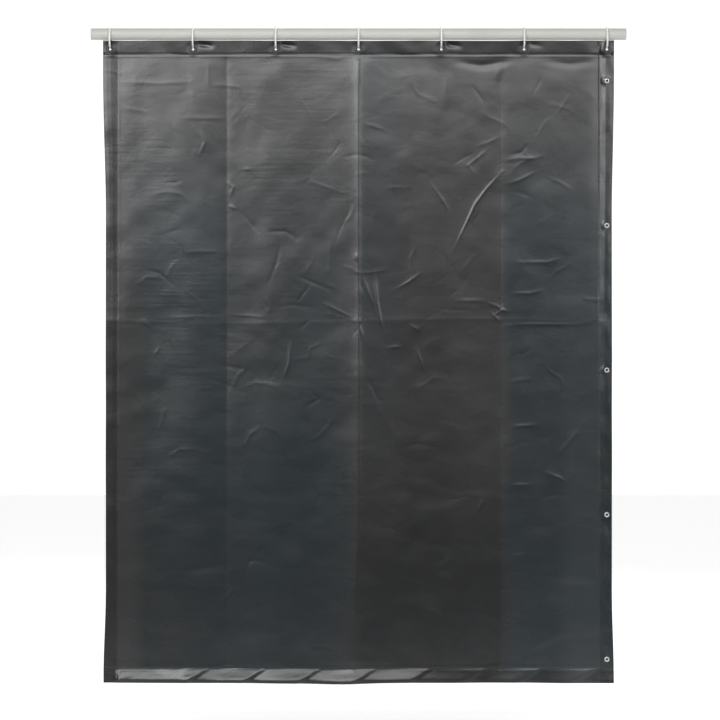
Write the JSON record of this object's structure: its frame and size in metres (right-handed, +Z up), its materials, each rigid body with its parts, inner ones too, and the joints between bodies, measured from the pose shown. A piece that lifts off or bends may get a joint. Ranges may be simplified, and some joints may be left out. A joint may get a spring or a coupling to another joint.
{
  "type": "welding curtain screen",
  "caption": "Dark tinted PVC welding curtain with welded hems, hung by plastic rings in metal eyelets on a round rail tube, with press snaps down one side hem.",
  "frame": {"origin": "on the rail tube's axis, half way along it, where the rail is held", "axes": "+X along the rail to the hem with the snaps, +Z up, the front of the curtain faces -Y"},
  "size_m": [1.466, 0.062, 1.7983],
  "materials": {
    "film": "satin, dark tinted soft PVC film with packing creases",
    "rail": "light grey galvanised tube, drawn lengthwise",
    "ring": "white moulded plastic",
    "eyelet": "dull nickel-plated, rolled",
    "snap": "bright nickel-plated"
  },
  "bodies": {
    "rail": {"rail_tube": "rail"},
    "ring_station_1": {"ring_1": "ring", "eyelet_1": "eyelet", "eyelet_washer_1": "eyelet", "film_ring_strip_1": "film"},
    "fold_1_left": {"film_fold_1_left": "film"},
    "fold_1_right": {"film_fold_1_right": "film"},
    "ring_station_2": {"ring_2": "ring", "eyelet_2": "eyelet", "eyelet_washer_2": "eyelet", "film_ring_strip_2": "film"},
    "fold_2_left": {"film_fold_2_left": "film"},
    "fold_2_right": {"film_fold_2_right": "film"},
    "ring_station_3": {"ring_3": "ring", "eyelet_3": "eyelet", "eyelet_washer_3": "eyelet", "film_ring_strip_3": "film"},
    "fold_3_left": {"film_fold_3_left": "film"},
    "fold_3_right": {"film_fold_3_right": "film"},
    "ring_station_4": {"ring_4": "ring", "eyelet_4": "eyelet", "eyelet_washer_4": "eyelet", "film_ring_strip_4": "film"},
    "fold_4_left": {"film_fold_4_left": "film"},
    "fold_4_right": {"film_fold_4_right": "film"},
    "ring_station_5": {"ring_5": "ring", "eyelet_5": "eyelet", "eyelet_washer_5": "eyelet", "film_ring_strip_5": "film"},
    "fold_5_left": {"film_fold_5_left": "film"},
    "fold_5_right": {"film_fold_5_right": "film"},
    "ring_station_6": {"ring_6": "ring", "eyelet_6": "eyelet", "eyelet_washer_6": "eyelet", "film_ring_strip_6": "film"},
    "fold_6_left": {"film_fold_6_left": "film"},
    "fold_6_right": {"film_fold_6_right": "film"},
    "ring_station_7": {"ring_7": "ring", "eyelet_7": "eyelet", "eyelet_washer_7": "eyelet", "film_ring_strip_7": "film", "snap_socket_1": "snap", "snap_cap_1": "snap", "snap_socket_2": "snap", "snap_cap_2": "snap", "snap_socket_3": "snap", "snap_cap_3": "snap", "snap_socket_4": "snap", "snap_cap_4": "snap", "snap_socket_5": "snap", "snap_cap_5": "snap"}
  },
  "joints": [
    {"name": "curtain_swing", "type": "hinge", "parent": "rail", "child": "ring_station_4", "pos_m": [0, 0, 0], "axis": [1, 0, 0], "range_deg": [-25, 25]},
    {"name": "draw_right_half", "type": "hinge", "parent": "ring_station_4", "child": "fold_4_left", "pos_m": [0.02, 0.00075, -0.017], "axis": [0, 0, 1], "range_deg": [0, 80]},
    {"name": "fold_4_middle", "type": "hinge", "parent": "fold_4_left", "child": "fold_4_right", "pos_m": [0.11333, -0.00035, -0.017], "axis": [0, 0, 1], "range_deg": [-160, 0]},
    {"name": "fold_4_end", "type": "hinge", "parent": "fold_4_right", "child": "ring_station_5", "pos_m": [0.20667, 0.00075, -0.017], "axis": [0, 0, 1], "range_deg": [0, 80]},
    {"name": "fold_5_start", "type": "hinge", "parent": "ring_station_5", "child": "fold_5_left", "pos_m": [0.24667, 0.00075, -0.017], "axis": [0, 0, 1], "range_deg": [0, 80]},
    {"name": "fold_5_middle", "type": "hinge", "parent": "fold_5_left", "child": "fold_5_right", "pos_m": [0.34, -0.00035, -0.017], "axis": [0, 0, 1], "range_deg": [-160, 0]},
    {"name": "fold_5_end", "type": "hinge", "parent": "fold_5_right", "child": "ring_station_6", "pos_m": [0.43333, 0.00075, -0.017], "axis": [0, 0, 1], "range_deg": [0, 80]},
    {"name": "fold_6_start", "type": "hinge", "parent": "ring_station_6", "child": "fold_6_left", "pos_m": [0.47333, 0.00075, -0.017], "axis": [0, 0, 1], "range_deg": [0, 80]},
    {"name": "fold_6_middle", "type": "hinge", "parent": "fold_6_left", "child": "fold_6_right", "pos_m": [0.56667, -0.00035, -0.017], "axis": [0, 0, 1], "range_deg": [-160, 0]},
    {"name": "fold_6_end", "type": "hinge", "parent": "fold_6_right", "child": "ring_station_7", "pos_m": [0.66, 0.00075, -0.017], "axis": [0, 0, 1], "range_deg": [0, 80]},
    {"name": "draw_left_half", "type": "hinge", "parent": "ring_station_4", "child": "fold_3_right", "pos_m": [-0.02, 0.00075, -0.017], "axis": [0, 0, -1], "range_deg": [0, 80]},
    {"name": "fold_3_middle", "type": "hinge", "parent": "fold_3_right", "child": "fold_3_left", "pos_m": [-0.11333, -0.00035, -0.017], "axis": [0, 0, -1], "range_deg": [-160, 0]},
    {"name": "fold_3_end", "type": "hinge", "parent": "fold_3_left", "child": "ring_station_3", "pos_m": [-0.20667, 0.00075, -0.017], "axis": [0, 0, -1], "range_deg": [0, 80]},
    {"name": "fold_2_start", "type": "hinge", "parent": "ring_station_3", "child": "fold_2_right", "pos_m": [-0.24667, 0.00075, -0.017], "axis": [0, 0, -1], "range_deg": [0, 80]},
    {"name": "fold_2_middle", "type": "hinge", "parent": "fold_2_right", "child": "fold_2_left", "pos_m": [-0.34, -0.00035, -0.017], "axis": [0, 0, -1], "range_deg": [-160, 0]},
    {"name": "fold_2_end", "type": "hinge", "parent": "fold_2_left", "child": "ring_station_2", "pos_m": [-0.43333, 0.00075, -0.017], "axis": [0, 0, -1], "range_deg": [0, 80]},
    {"name": "fold_1_start", "type": "hinge", "parent": "ring_station_2", "child": "fold_1_right", "pos_m": [-0.47333, 0.00075, -0.017], "axis": [0, 0, -1], "range_deg": [0, 80]},
    {"name": "fold_1_middle", "type": "hinge", "parent": "fold_1_right", "child": "fold_1_left", "pos_m": [-0.56667, -0.00035, -0.017], "axis": [0, 0, -1], "range_deg": [-160, 0]},
    {"name": "fold_1_end", "type": "hinge", "parent": "fold_1_left", "child": "ring_station_1", "pos_m": [-0.66, 0.00075, -0.017], "axis": [0, 0, -1], "range_deg": [0, 80]}
  ],
  "couplings": [
    {"joint": "fold_4_middle", "follows": "draw_right_half", "ratio": -2},
    {"joint": "fold_4_end", "follows": "draw_right_half", "ratio": 1},
    {"joint": "fold_5_start", "follows": "draw_right_half", "ratio": 1},
    {"joint": "fold_5_middle", "follows": "draw_right_half", "ratio": -2},
    {"joint": "fold_5_end", "follows": "draw_right_half", "ratio": 1},
    {"joint": "fold_6_start", "follows": "draw_right_half", "ratio": 1},
    {"joint": "fold_6_middle", "follows": "draw_right_half", "ratio": -2},
    {"joint": "fold_6_end", "follows": "draw_right_half", "ratio": 1},
    {"joint": "fold_3_middle", "follows": "draw_left_half", "ratio": -2},
    {"joint": "fold_3_end", "follows": "draw_left_half", "ratio": 1},
    {"joint": "fold_2_start", "follows": "draw_left_half", "ratio": 1},
    {"joint": "fold_2_middle", "follows": "draw_left_half", "ratio": -2},
    {"joint": "fold_2_end", "follows": "draw_left_half", "ratio": 1},
    {"joint": "fold_1_start", "follows": "draw_left_half", "ratio": 1},
    {"joint": "fold_1_middle", "follows": "draw_left_half", "ratio": -2},
    {"joint": "fold_1_end", "follows": "draw_left_half", "ratio": 1}
  ]
}
